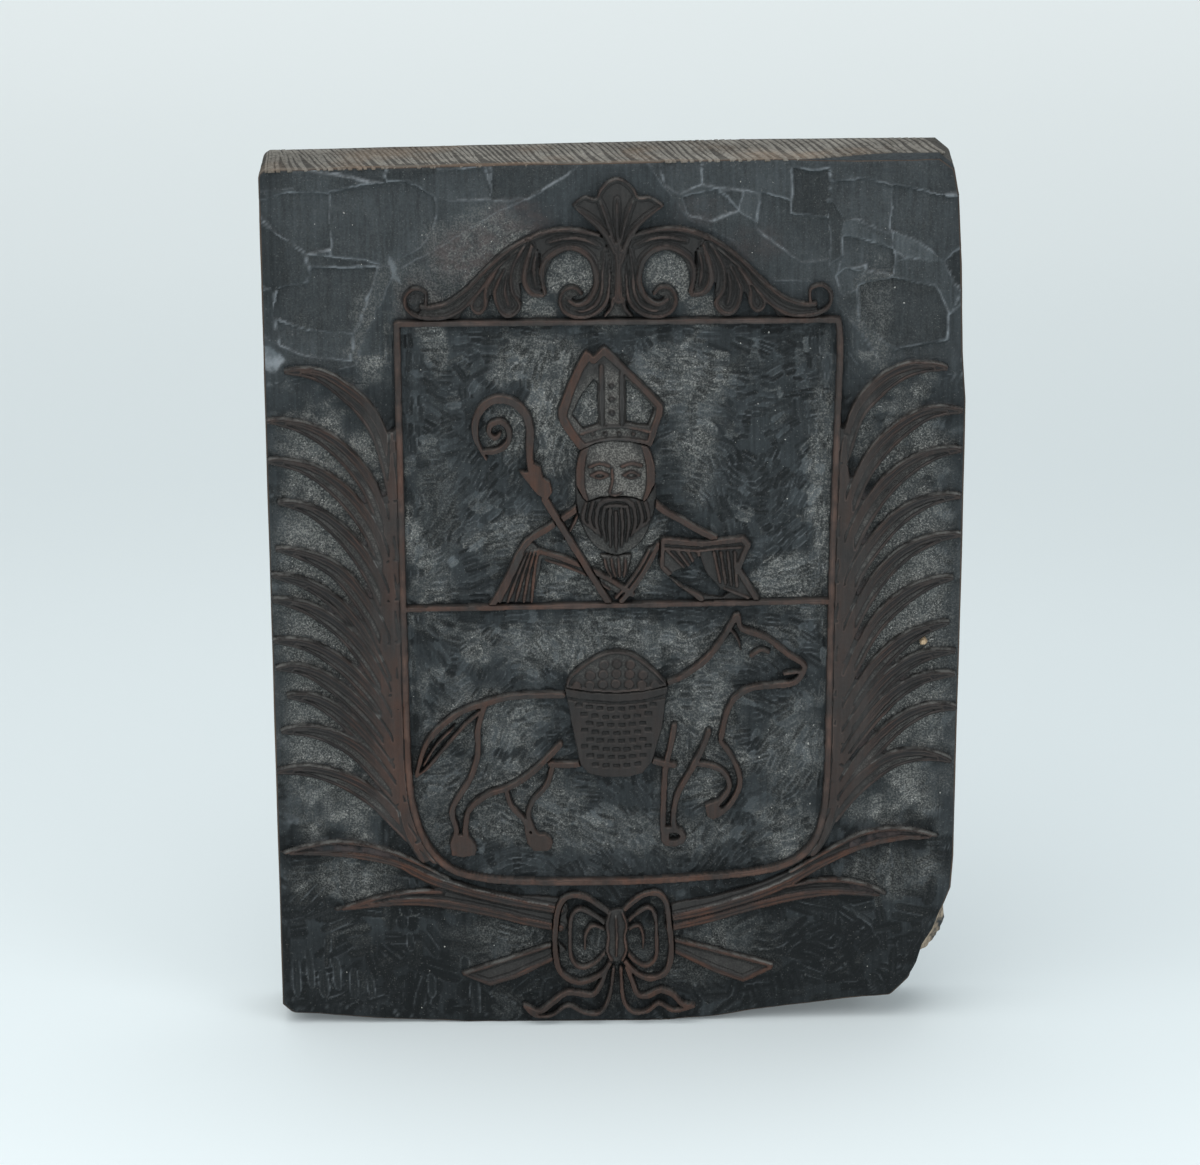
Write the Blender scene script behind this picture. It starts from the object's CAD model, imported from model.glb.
import math
import time

import bmesh
import bpy
import numpy as np
from mathutils import Matrix, Vector


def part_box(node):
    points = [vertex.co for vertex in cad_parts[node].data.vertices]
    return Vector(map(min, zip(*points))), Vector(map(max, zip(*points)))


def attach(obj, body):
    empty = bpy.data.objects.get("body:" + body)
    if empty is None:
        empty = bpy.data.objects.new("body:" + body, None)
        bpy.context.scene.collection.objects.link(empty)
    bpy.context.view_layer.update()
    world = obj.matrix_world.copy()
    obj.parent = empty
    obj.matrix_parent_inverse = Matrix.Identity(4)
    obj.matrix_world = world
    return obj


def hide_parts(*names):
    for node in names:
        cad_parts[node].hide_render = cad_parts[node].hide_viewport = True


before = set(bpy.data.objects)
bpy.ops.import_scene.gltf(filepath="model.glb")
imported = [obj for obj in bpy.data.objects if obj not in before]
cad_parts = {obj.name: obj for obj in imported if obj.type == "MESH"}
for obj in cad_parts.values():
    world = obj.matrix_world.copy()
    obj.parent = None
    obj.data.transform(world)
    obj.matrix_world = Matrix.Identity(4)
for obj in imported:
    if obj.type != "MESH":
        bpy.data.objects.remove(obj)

startTime = time.perf_counter()
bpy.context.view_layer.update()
mm = 0.001
cadLow, cadHigh = [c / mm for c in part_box("plank")]
faceY, groundY = [c.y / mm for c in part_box("shield_frame")]      # tops of the printing lines, their ground
relief = groundY - faceY


def stage(words):
    print(f"[{time.perf_counter() - startTime:6.1f} s] {words}")


# Camera: the photograph's view, a little above the block

camera = {"target": (-4.85, 0.0, 133.6), "distance": 1500.0, "elevation": 18.0, "roll": -0.527,
          "focal": 5134.2, "frameWidth": 1200, "sensor": 36, "clipEnd": 20}


def makeCamera(c):
    e, roll = math.radians(c["elevation"]), math.radians(c["roll"])
    back = Vector((0, -math.cos(e), math.sin(e)))
    right = (-back).cross(Vector((0, 0, 1))).normalized()
    up = right.cross(-back)
    r = right * math.cos(roll) + up * math.sin(roll)
    u = -right * math.sin(roll) + up * math.cos(roll)
    data = bpy.data.cameras.new("photoCamera")
    data.sensor_width = c["sensor"]
    data.lens = c["focal"] / c["frameWidth"] * c["sensor"]
    data.clip_end = c["clipEnd"]
    cam = bpy.data.objects.new("photoCamera", data)
    place = Matrix((r, u, back)).transposed().to_4x4()
    place.translation = (Vector(c["target"]) + back * c["distance"]) * mm
    cam.matrix_world = place
    bpy.context.scene.collection.objects.link(cam)
    bpy.context.scene.camera = cam


makeCamera(camera)


# Raster maps of the face in millimetres, x across and z up, drawn from the CAD nodes

raster = {"step": 0.125, "margin": 3.0}
step = raster["step"]
xLow, zLow = cadLow.x - raster["margin"], cadLow.z - raster["margin"]
cols = int((cadHigh.x - cadLow.x + 2 * raster["margin"]) / step) + 1
rows = int((cadHigh.z - cadLow.z + 2 * raster["margin"]) / step) + 1
xs = xLow + np.arange(cols) * step
zs = zLow + np.arange(rows) * step
mapX, mapZ = xs[None, :], zs[:, None]
fromMiddle = np.abs(mapX - 1.5)      # the shield's middle stands a little to the right
nowhere = 99.0                       # depth of a cell that a node doesn't cover
tiny = 1e-9


def smooth01(v):
    v = np.clip(v, 0, 1)
    return v * v * (3 - 2 * v)


# The rows and columns over a box in mm, with some cells more at its far sides, and whether there are any
def window(x0, z0, x1, z1, extra=2):
    c0, c1 = max(int((x0 - xLow) / step), 0), min(int((x1 - xLow) / step) + extra, cols)
    r0, r1 = max(int((z0 - zLow) / step), 0), min(int((z1 - zLow) / step) + extra, rows)
    return (slice(r0, r1), slice(c0, c1)), c1 > c0 and r1 > r0


def offsets(win, x, z):
    return mapX[:, win[1]] - x, mapZ[win[0]] - z


def nodeTriangles(node):
    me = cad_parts[node].data
    me.calc_loop_triangles()
    co = np.empty(len(me.vertices) * 3)
    me.vertices.foreach_get("co", co)
    tri = np.empty(len(me.loop_triangles) * 3, dtype=np.int64)
    me.loop_triangles.foreach_get("vertices", tri)
    return (co.reshape(-1, 3) / mm)[tri.reshape(-1, 3)]


# The y of the node's front surface over the whole raster
def frontDepth(node):
    depth = np.full((rows, cols), nowhere, dtype=np.float32)
    tris = nodeTriangles(node)
    normals = np.cross(tris[:, 1] - tris[:, 0], tris[:, 2] - tris[:, 0])
    facing = normals[:, 1] < -0.25 * np.linalg.norm(normals, axis=1) - tiny
    for a, b, c in tris[facing]:
        acrossAt, upAt = (a[0], b[0], c[0]), (a[2], b[2], c[2])
        win, found = window(min(acrossAt), min(upAt), max(acrossAt), max(upAt))
        det = (b[0] - a[0]) * (c[2] - a[2]) - (c[0] - a[0]) * (b[2] - a[2])
        if not found or abs(det) < tiny:
            continue
        gx, gz = offsets(win, a[0], a[2])
        u = (gx * (c[2] - a[2]) - (c[0] - a[0]) * gz) / det
        v = ((b[0] - a[0]) * gz - gx * (b[2] - a[2])) / det
        inside = (u >= -1e-6) & (v >= -1e-6) & (u + v <= 1 + 1e-6)
        y = a[1] + u * (b[1] - a[1]) + v * (c[1] - a[1])
        patch = depth[win]
        patch[inside] = np.minimum(patch[inside], y[inside])
    return depth


# Distance in mm from each cell to the nearest set cell, as far as the reach
def distanceTo(mask, reach):
    k = int(reach / step) + 1
    far = float((k + 1) ** 2)
    h, w = mask.shape
    near = np.where(mask, 0.0, far).astype(np.float32)
    line = near.copy()
    for d in range(1, k + 1):
        line[:, d:] = np.minimum(line[:, d:], near[:, :w - d] + d * d)
        line[:, :w - d] = np.minimum(line[:, :w - d], near[:, d:] + d * d)
    out = line.copy()
    for d in range(1, k + 1):
        out[d:] = np.minimum(out[d:], line[:h - d] + d * d)
        out[:h - d] = np.minimum(out[:h - d], line[d:] + d * d)
    return np.sqrt(np.minimum(out, far)) * step


# Gaussian blur, sigma in mm
def blur(a, sigma):
    sc = sigma / step
    k = max(int(2.5 * sc), 1)
    w = np.exp(-0.5 * (np.arange(-k, k + 1) / sc) ** 2)
    w = (w / w.sum()).astype(np.float32)
    p = np.pad(a, ((k, k), (0, 0)), mode="edge")
    a = sum(w[i] * p[i:i + a.shape[0]] for i in range(2 * k + 1))
    p = np.pad(a, ((0, 0), (k, k)), mode="edge")
    return sum(w[i] * p[:, i:i + a.shape[1]] for i in range(2 * k + 1))


# Positive inside the mask, negative outside, in mm
def signedDistance(mask, reach):
    inside = distanceTo(~mask, reach) - step / 2
    outside = distanceTo(mask, reach) - step / 2
    return np.where(mask, inside, -outside).astype(np.float32)


# Smooth random field over the raster, about -1 to 1, with bumps of that size in mm
def softNoise(size, seed, stretch=1.0):
    rng = np.random.default_rng(seed)
    nx, nz = int(cols * step / size) + 3, int(rows * step / (size * stretch)) + 3
    g = rng.uniform(-1, 1, (nz, nx)).astype(np.float32)
    fx, fz = np.arange(cols) * step / size, np.arange(rows) * step / (size * stretch)
    ix, iz = fx.astype(int), fz.astype(int)
    tx, tz = smooth01(fx - ix).astype(np.float32), smooth01(fz - iz).astype(np.float32)[:, None]
    a = g[iz][:, ix] * (1 - tx) + g[iz][:, ix + 1] * tx
    b = g[iz + 1][:, ix] * (1 - tx) + g[iz + 1][:, ix + 1] * tx
    return a * (1 - tz) + b * tz


# Bilinear reading of a raster map at points in mm
def sample(a, x, z):
    fx = np.clip((x - xLow) / step, 0, cols - 1.001)
    fz = np.clip((z - zLow) / step, 0, rows - 1.001)
    ix, iz = fx.astype(int), fz.astype(int)
    tx, tz = fx - ix, fz - iz
    top = a[iz, ix] * (1 - tx) + a[iz, ix + 1] * tx
    low = a[iz + 1, ix] * (1 - tx) + a[iz + 1, ix + 1] * tx
    return top * (1 - tz) + low * tz


# A map of soft ellipses: x, z, half width, half height and strength of each
def placesMap(places, slope=1.4, start=0.3, rough=0.0):
    out = np.zeros((rows, cols), dtype=np.float32)
    for x, z, halfX, halfZ, strength in places:
        d = 1 - np.sqrt(((mapX - x) / halfX) ** 2 + ((mapZ - z) / halfZ) ** 2)
        out = np.maximum(out, strength * smooth01(d * slope + start + rough))
    return out


# Relief: each family of motifs gets one carved profile, then every node takes the part of it that it owns

carving = {
    "grain": 2,             # raster cells from vertex to vertex
    "pad": 2.8,             # raster kept around a family
    "reach": 2.4,           # how far distances from the outline go
    "soften": 0.13,         # blur of the drawn outline
    "topFrom": 0.15,        # surfaces less than this under the tops count as top
    "hollowTo": 0.3,        # and those further down than this as hollows
    "flankOut": 0.16,       # where a flank meets the ground, outside the drawn line
    "flankIn": 0.24,        # where it reaches the top, inside the line
    "flankPower": 0.85,     # how round a flank is
    "foot": 0.7,            # how far a flank runs on under the ground
    "handWobble": 0.09,     # how far the outline wanders
    "topWear": 0.22,        # unevenness of the tops
    "hollow": 0.55,         # height of a hollow where the solid has none, as a share of the relief
    "scoop": 0.45,          # how much deeper the middle of a hollow is
    "scoopRun": 0.7,        # over which distance it gets there
    "gap": 0.9,             # reach over which wood on both sides closes a narrow gap
    "gapFrom": 0.46,        # share of wood around a place where the gap starts to close
    "gapOver": 0.22,        # and how much more closes it fully
    "groove": 2.5,          # height of the wood left in such a gap
}
familyBase = {"dust": 0.35, "glow": 1.0, "crown": -9, "lip": 0.35, "veins": 0.0, "ink": 0.24}
palm = {"closed": True, "veins": 1.0, "lip": 0.75, "ink": 0.22}
families = {
    "shield": {"nodes": ["shield_frame", "shield_bar"], "rub": 0.42, "crown": 0.8, "lip": 0.1},
    "crest": {"nodes": ["crest_palmette", "crest_scroll_left", "crest_scroll_right", "crest_leaves_left",
                        "crest_leaves_right"], "rub": 0.35, "veins": 0.5, "ink": 0.20},
    "palm_left": {"rub": 0.46, **palm},
    "palm_right": {"rub": 0.44, **palm},
    "lowLeaves": {"nodes": ["low_leaves_left", "low_leaves_right"], "rub": 0.7, "veins": 0.7, "lip": 0.8},
    "stalks": {"nodes": ["cut_stalk_left", "cut_stalk_right"], "rub": 0.75, "veins": 0.5, "lip": 0.7},
    "bow": {"nodes": ["bow_knot", "bow_loop_left", "bow_loop_right", "ribbon_tail_left", "ribbon_tail_right"],
            "rub": 0.5},
    "mitre": {"rub": 0.48, "dust": 0.8},
    "head": {"rub": 0.42, "dust": 1.1},
    "beard": {"rub": 0.14, "ink": 0.13, "glow": 0.35, "lip": 0.1},
    "crosier": {"rub": 0.46},
    "robe": {"rub": 0.46, "lip": 0.5, "dust": 0.7},
    "book": {"rub": 0.34, "dust": 0.6},
    "beast": {"nodes": ["beast", "beast_tail", "beast_forelegs", "beast_hind_legs"], "rub": 0.46},
    "basket": {"rub": 0.1, "shallow": 0.9, "ink": 0.13, "glow": 0.5},
    "basket_load": {"rub": 0.2, "shallow": 0.9, "ink": 0.15},
}

wobble = softNoise(2.2, 11)
wear = softNoise(3.4, 12) * 0.6 + softNoise(1.1, 13) * 0.4
allHeights = np.full((rows, cols), -2.0, dtype=np.float32)   # highest motif over the ground
reliefGap = np.full((rows, cols), 9.0, dtype=np.float32)     # distance to the nearest motif


# One family in its window of the raster: height over the ground, maps for the paint, and who owns each cell
def carve(family, frameMask):
    c = carving
    depths = [frontDepth(n) for n in family["nodes"]]
    zi, xi = np.where(np.minimum.reduce(depths) < nowhere)
    pad = int(c["pad"] / step)
    win = (slice(max(zi.min() - pad, 0), min(zi.max() + pad, rows)),
           slice(max(xi.min() - pad, 0), min(xi.max() + pad, cols)))
    depths = [d[win] for d in depths]
    nearest = np.minimum.reduce(depths)
    full, low = nearest < faceY + c["topFrom"], nearest < nowhere
    lowHeight = relief * c["hollow"]
    for d in depths:
        levels = groundY - d[(d < nowhere) & (d > faceY + c["hollowTo"])]
        if levels.size:
            lowHeight = float(np.median(levels))
    if "shallow" in family:
        lowHeight = relief - family["shallow"]
    sFull, sLow = [blur(signedDistance(mask, c["reach"]), c["soften"]) + wobble[win] * c["handWobble"]
                   for mask in (full, low)]

    def profile(s, top):
        t = (s + c["flankOut"]) / (c["flankOut"] + c["flankIn"])
        return -c["foot"] + (top + c["foot"]) * smooth01(t) ** c["flankPower"]

    scoop = c["scoop"] * (1 - np.exp(-np.clip(-sFull, 0, 3) / c["scoopRun"]))
    hollow = profile(sLow, lowHeight + 0.15) - np.where(sLow > 0, scoop, 0)
    height = np.maximum(profile(sFull, relief), hollow)
    if family.get("closed"):
        both = (low | frameMask[win]).astype(np.float32)
        around = smooth01((blur(both, c["gap"]) - c["gapFrom"]) / c["gapOver"])
        height = np.maximum(height, around * (c["groove"] + c["foot"] + 0.2 * wear[win]) - c["foot"])
    onTop = np.clip(height / relief, 0, 1) ** 4
    height = height - onTop * (0.02 + c["topWear"] * (0.5 + 0.5 * wear[win]) * 0.5)
    upward = -np.gradient(blur(sLow, 0.25), axis=0) / step          # 1 on an edge that faces up the block
    allHeights[win] = np.maximum(allHeights[win], height)
    reliefGap[win] = np.minimum(reliefGap[win], np.clip(-sLow, 0, 9))
    maps = {"height": height.astype(np.float32), "crown": np.exp(-((sFull - family["crown"]) / 0.30) ** 2),
            "owner": np.argmin(np.stack([distanceTo(d < nowhere, c["reach"]) for d in depths]), axis=0),
            "low": smooth01(sLow / 0.5) * smooth01(-sFull / 0.4), "lip": smooth01((upward - 0.25) / 0.5),
            "inward": np.clip(sFull, -1, 2.3)}
    return win, maps


carved = {}
shieldLines = frontDepth("shield_frame") < nowhere
for name, family in families.items():
    families[name] = {"nodes": [name], **familyBase, **family}
    carved[name] = carve(families[name], shieldLines)
stage("carved the profiles of the motifs")


# Ground: gouge strokes in the fields, flat chisel facets in the waste, and the ink and dust on each cut

strokes = {
    "sides": {"count": 700, "row": (1, 4), "box": (-101, 40, 101, 205), "width": (1.2, 2.6), "length": (3, 8),
              "depth": (0.06, 0.22), "seed": 24},
    "foot": {"count": 420, "row": (1, 4), "box": (-101, 0, 98, 60), "width": (2.0, 4.5), "length": (6, 15),
             "depth": (0.06, 0.28), "seed": 23},
    "field": {"count": 1500, "row": (2, 5), "box": (-63, 44, 66, 218), "width": (1.3, 2.7),
              "length": (3.0, 7.5), "depth": (0.06, 0.26), "seed": 21},
}
alongLine = {"left": -62, "right": 65, "top": 215, "bar": 129, "within": 7}    # strokes follow this line
strokeShape = {"reach": 0.55, "rise": 1.3, "bite": 0.8, "streaks": 9, "streakTone": 0.07, "beside": 0.85}
strokeTones = {
    "start": 0.20, "usual": (0.03, 0.20), "paler": 0.13, "spread": (0.2, 2.0),
    "foot": (0.0, 0.05), "footDust": 0.05,
    "paleShare": 0.12, "paleInDust": 0.55,        # how many rows are pale, and how many more where dust lies
    "dusting": (0.3, 1.1), "bare": (0, 0.07),     # dust on pale strokes and on the others
}
footMarks = [       # upright gouge marks at the foot: x, z, width, length
    (-96, 15, 2.4, 13), (-92, 18, 2.2, 14), (-88, 13, 3.4, 9), (-84, 16, 2.6, 11), (-79, 13, 2.8, 10),
    (-74, 12, 2.4, 8), (-56, 12, 2.6, 8), (-46, 18, 3.0, 7), (-43, 8, 3.2, 12), (-62, 26, 2.4, 6)]
dustPlaces = [      # where pale dust lies: x, z, half width, half height, strength
    (-24, 205, 13, 9, 0.8), (-18, 188, 10, 16, 0.9), (-28, 150, 12, 9, 0.5), (-52, 158, 7, 26, 0.3),
    (18, 200, 14, 10, 0.7), (24, 178, 7, 16, 0.55), (60, 165, 5, 44, 0.7), (-54, 138, 8, 8, 0.5),
    (50, 138, 12, 8, 0.7), (0, 150, 16, 14, 0.8), (-8, 118, 40, 9, 0.8), (30, 118, 18, 8, 0.6),
    (-55, 78, 8, 26, 0.5), (-30, 72, 20, 14, 0.8), (24, 90, 14, 26, 0.8), (0, 60, 40, 8, 0.6),
    (52, 84, 10, 16, 0.6), (50, 60, 12, 10, 0.6), (-40, 96, 20, 10, 0.8), (-13, 229, 9, 8, 1.3),
    (16, 229, 9, 8, 1.3), (-22, 219, 6, 5, 1.0), (26, 219, 6, 5, 1.0), (0, 222, 6, 9, 0.8),
    (-45, 226, 22, 10, 0.5), (74, 215, 6, 16, 0.6), (-70, 212, 5, 14, 0.8), (-82, 127, 26, 64, 1.3),
    (84, 126, 24, 62, 1.15), (0, 191, 13, 12, 1.0), (-0.5, 172, 11, 13, 0.9), (-30, 183, 8, 9, 0.9),
    (-6, 140, 22, 8, 0.8), (-80, 46, 18, 8, 0.6), (80, 47, 22, 8, 0.35), (0, 22, 30, 12, 0.5),
    (30, 22, 20, 10, 0.5), (-36, 24, 16, 9, 0.45), (-38, 237, 18, 12, 0.9), (-52, 214, 5, 12, 0.9),
    (-64, 226, 6, 8, 0.5)]
brownPlaces = [     # where bare brown wood shows in the waste
    (-40, 236, 14, 9, 0.9), (-27, 246, 10, 6, 0.7), (-56, 222, 7, 9, 0.5), (40, 238, 9, 6, 0.4),
    (24, 248, 8, 5, 0.3)]
facets = {          # outlines of the flat cuts in drawing order, in millimetres, with how pale each one is
    "shift": (-0.5, 1.5),
    "smooth": 0.09,
    "tone": 0.68,
    "crease": 0.19,
    "gap": 0.6,
    "pale": 0.6,
    "seed": 6,
    "left": [
        ([(-102, 264), (-49, 264), (-34, 264), (-10, 264), (-20, 252), (-32, 247), (-50, 236), (-62, 230),
          (-70, 212), (-74, 202), (-102, 196)], 0.36),
        ([(-58, 256), (-49, 258.5), (-36, 259.5), (-34, 250.5), (-46, 250), (-54, 252.5)], 0.40),
        ([(-34, 260), (-20, 261), (-8, 262), (-14, 256), (-24, 250.5), (-34, 250)], 0.42),
        ([(-80, 252.5), (-70, 254.5), (-58, 255.5), (-50, 251), (-50, 244), (-54, 237), (-64, 231),
          (-80, 234)], 0.36),
        ([(-100, 250), (-92, 252.5), (-80, 252), (-80, 236), (-87, 234.5), (-95, 241), (-100, 246)], 0.33),
        ([(-102, 245), (-95, 240.5), (-87, 234.5), (-86, 226), (-96, 224), (-102, 226)], 0.40),
        ([(-87, 234.5), (-70, 232.5), (-65, 231), (-86, 230.5)], 0.46),
        ([(-86, 230.5), (-67, 230.5), (-70, 221), (-74, 211), (-86, 212), (-97, 216), (-95, 224.5),
          (-87, 226)], 0.30),
        ([(-102, 224), (-96, 224), (-97, 216), (-95, 208), (-102, 212)], 0.40),
        ([(-96, 215), (-86, 212), (-74, 211), (-75, 203), (-88, 205), (-95, 208)], 0.36),
        ([(-103, 265), (-90, 265), (-90, 254), (-103, 252.5)], 0.40),
        ([(-90, 262), (-64, 265), (-64, 255), (-68, 255.5), (-76, 257.5), (-90, 260)], 0.44),
        ([(-64, 265), (-49.5, 265), (-49.5, 257.4), (-56, 256), (-64, 255)], 0.42),
        ([(-103, 207.5), (-98, 207.5), (-94, 203.5), (-97, 200), (-103, 203)], 1.2),
        ([(-63.5, 234.5), (-61.5, 231), (-60, 225.5), (-62.5, 228)], 0.95),
    ],
    "right": [
        ([(8, 264), (100, 264), (102, 198), (78, 200), (68, 214), (58, 226), (44, 226), (34, 238), (22, 244),
          (16, 252)], 0.38),
        ([(25.5, 264), (52, 264), (52, 258.5), (51, 249), (46, 249.5), (38, 252), (30, 253),
          (25.5, 254)], 0.42),
        ([(14, 264), (25.5, 264), (25.5, 254), (19, 251), (15, 254)], 0.44),
        ([(20, 250), (30, 252.5), (36, 246.5), (28, 243.5), (22, 245)], 0.44),
        ([(42, 251), (50.5, 248.8), (50.5, 245), (61.5, 243.5), (61.5, 232), (54, 231), (41, 241)], 0.38),
        ([(37.5, 252), (42, 251), (40.5, 243), (36, 246.5)], 0.46),
        ([(51.5, 258.5), (58, 257.5), (61.5, 258), (61.5, 243.5), (50.5, 245), (51, 249)], 0.33),
        ([(61.5, 254), (72, 255), (80, 252.5), (79, 239), (70, 243.5), (66, 243), (62, 250)], 0.41),
        ([(61.5, 250), (66, 243), (65, 239.5), (65.5, 233), (61.5, 230)], 0.32),
        ([(80, 253), (92, 250), (99, 249.5), (100, 232), (94.5, 230.5), (88, 236), (79, 240)], 0.34),
        ([(62, 265), (101, 265), (101, 251.5), (93, 250), (80, 253), (72, 254.8), (61.5, 258)], 0.40),
        ([(80, 230), (84, 232), (94.5, 230.5), (97, 225.5), (99, 222), (96.5, 215), (92, 224), (86, 224.8),
          (80, 226)], 0.40),
        ([(70, 224), (80, 226), (86, 224.8), (92, 223.5), (96.5, 215.5), (95.5, 208), (80, 205),
          (70, 214)], 0.34),
        ([(66, 238.5), (71.5, 237.5), (72, 230), (66, 229), (63.5, 227), (65.5, 233)], 0.36),
        ([(65, 240), (67, 242.8), (69, 242.6), (74, 239.3), (79.8, 234.6), (71, 237.5), (66, 238.5)], 0.62),
        ([(71.5, 237.2), (79.8, 234.6), (80, 227), (72.5, 228.5), (71.5, 231)], 0.37),
        ([(80, 239.5), (88, 236), (94.5, 230.5), (84, 232), (80, 234.5)], 0.58),
        ([(94.5, 231), (101, 236), (102, 220), (97, 225)], 0.24),
        ([(65.5, 220.5), (70.5, 223.8), (71, 228), (66, 229), (63.5, 227)], 0.40),
        ([(96, 215), (102, 221), (102, 200), (95.5, 206)], 0.30),
    ],
}

plankDepth = frontDepth("plank")
onPlank = plankDepth < nowhere
insidePlank = signedDistance(onPlank, 4.0)
cadGround = np.where(onPlank, groundY - plankDepth, 0).astype(np.float32)
turnMap = softNoise(22, 41) * 1.6
patchNoise = softNoise(7, 42) * 0.6 + softNoise(2.6, 43) * 0.4
dusty = placesMap(dustPlaces, 1.6, 0.35, patchNoise * 0.8)


# One gouge stroke: a shallow scoop that lowers the map, with its own tone, dust and streaks along it
def strokeCut(maps, rng, x, z, angle, width, length, depth, tone, dusting):
    s = strokeShape
    reach = max(width, length) * s["reach"]
    win, found = window(x - reach, z - reach, x + reach, z + reach, 0)
    if not found:
        return
    heights, tones, grit = [a[win] for a in maps]
    dx, dz = offsets(win, x, z)
    u = dx * math.cos(angle) + dz * math.sin(angle)
    v = -dx * math.sin(angle) + dz * math.cos(angle)
    q = (2 * u / length) ** 4 + (2 * v / width) ** 2
    surface = -depth + depth * s["rise"] * q
    mine = (q < 1.0) & (surface < heights + depth * s["bite"])
    streak = np.interp(v, np.linspace(-width / 2, width / 2, s["streaks"]), rng.uniform(-1, 1, s["streaks"]))
    heights[:] = np.where(mine, np.minimum(heights, surface) * 0.6 + surface * 0.4, heights)
    tones[:] = np.where(mine, tone + streak * s["streakTone"], tones)
    grit[:] = np.where(mine, np.clip(dusting * (0.9 + 0.6 * streak) * (1 - 0.6 * q * q), 0, 1), grit)


# Strokes turn softly over the block, follow the shield's line beside it, and lie level or upright at the foot
def strokeAngle(zone, rng, x, z, turn):
    a = alongLine
    angle = turn + rng.normal(0, 0.25)
    if zone == "foot":
        return rng.normal(0.0, 0.35) if rng.uniform() < 0.6 else rng.normal(math.pi / 2, 0.3)
    if zone == "field" and min(x - a["left"], a["right"] - x) < a["within"]:
        return math.pi / 2 + rng.normal(0, 0.08)
    if zone == "field" and min(a["top"] - z, abs(z - a["bar"])) < a["within"]:
        return rng.normal(0, 0.12)
    return angle


# Heights, tones and dust of all the strokes; each draw is a short row of parallel cuts
def cutStrokes():
    t = strokeTones
    maps = [np.full((rows, cols), level, dtype=np.float32) for level in (0.0, t["start"], 0.0)]
    for zone, f in strokes.items():
        rng = np.random.default_rng(f["seed"])
        x0, z0, x1, z1 = f["box"]
        for _ in range(f["count"]):
            x, z = rng.uniform(x0, x1), rng.uniform(z0, z1)
            if zone == "foot" and z > 40 and abs(x) < 60:
                continue
            here = int((z - zLow) / step), int((x - xLow) / step)
            angle = strokeAngle(zone, rng, x, z, turnMap[here])
            d = dusty[here]
            pale = rng.uniform() < t["paleShare"] + t["paleInDust"] * d
            base = rng.uniform(*t["usual"]) + t["paler"] * pale
            if zone == "foot":
                base = rng.uniform(*t["foot"]) + t["footDust"] * d
            width, length = rng.uniform(*f["width"]), rng.uniform(*f["length"])
            for k in range(rng.integers(*f["row"])):
                aside = k * width * strokeShape["beside"]
                tone = base * rng.uniform(*t["spread"])
                dusting = rng.uniform(*t["dusting"]) * (0.4 + 0.6 * d) if pale else rng.uniform(*t["bare"])
                strokeCut(maps, rng, x - aside * math.sin(angle), z + aside * math.cos(angle),
                          angle + rng.normal(0, 0.06), width, length * rng.uniform(0.75, 1.1),
                          rng.uniform(*f["depth"]), tone, dusting)
    rng = np.random.default_rng(2)
    for x, z, width, length in footMarks:
        strokeCut(maps, rng, x, z, math.pi / 2 + rng.normal(0, 0.1), width, length, 0.4, 0.13, 0.14)
    return maps


# The cells inside an outline, with edges that wander a little
def outlineMask(points, bend=0.35):
    p = np.array(points, dtype=float)
    win, _ = window(*p.min(0), *p.max(0))
    gx, gz = mapX[:, win[1]] + wobble[win] * bend, mapZ[win[0]] + wear[win] * bend
    inside = np.zeros(gx.shape, dtype=bool)
    for (ax, az), (bx, bz) in zip(p, np.roll(p, -1, axis=0)):
        if az != bz:
            inside ^= ((az > gz) != (bz > gz)) & (gx < (bx - ax) * (gz - az) / (bz - az) + ax)
    return win, inside


# The flat cuts of the waste: the first outline of each side is the broad cut under the others
def cutFacets(heights, tones, grit):
    rng = np.random.default_rng(facets["seed"])
    shiftX, shiftZ = facets["shift"]
    covered = np.zeros((rows, cols), dtype=bool)
    ids = np.ones((rows, cols), dtype=np.int16)
    for side in ("left", "right"):
        for k, (points, tone) in enumerate(facets[side]):
            points = [(x + shiftX, z + shiftZ) for x, z in points]
            win, inside = outlineMask(points)
            depth = 0.25 if k == 0 else rng.uniform(0.2, 1.25)
            leanX, leanZ = rng.normal(0, 0.03), rng.normal(-0.03, 0.03)
            tone *= rng.uniform(0.6, 1.35) if tone < facets["pale"] else 1.05
            if k == 0:
                leanX, leanZ = 0.0, 0.0
            gx, gz = offsets(win, *np.mean(points, axis=0))
            surface = -depth + gx * leanX + gz * leanZ
            far = inside & (reliefGap[win] > facets["gap"])
            fade = smooth01((reliefGap[win] - facets["gap"]) / 2.5)
            heights[win] = np.where(far, surface * fade + heights[win] * (1 - fade) * 0.5, heights[win])
            grit[win] = np.where(far, grit[win] * 0.15, grit[win])
            if k:
                tones[win] = np.where(far, tone * facets["tone"], tones[win])
                ids[win] = np.where(far, k + 1 + 40 * (side == "right"), ids[win])
            covered[win] |= far
    border = np.zeros((rows, cols), dtype=bool)
    border[1:] |= ids[1:] != ids[:-1]
    border[:, 1:] |= ids[:, 1:] != ids[:, :-1]
    crease = np.exp(-(distanceTo(border, 1.2) / facets["crease"]) ** 2)
    return covered, crease * np.clip(0.15 + 0.9 * softNoise(9, 44) + 0.45 * softNoise(2.0, 45), 0, 0.85)


groundLook = {
    "wasteFrom": 192, "crestFrom": 216, "fieldHalf": 66,      # mm up, and from the shield's middle
    "wasteTone": 0.26,
    "solidShare": 0.35, "besideMotif": -0.55, "deepest": -2.4, "heartFill": 1.9,
    "ridge": 6, "facetRidge": 0.8, "cavity": 0.26, "dustReach": 4.5, "facetDust": 0.36, "combing": 5,
    "side": 100, "footTop": 34, "lowFieldTop": 127,
}


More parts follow.
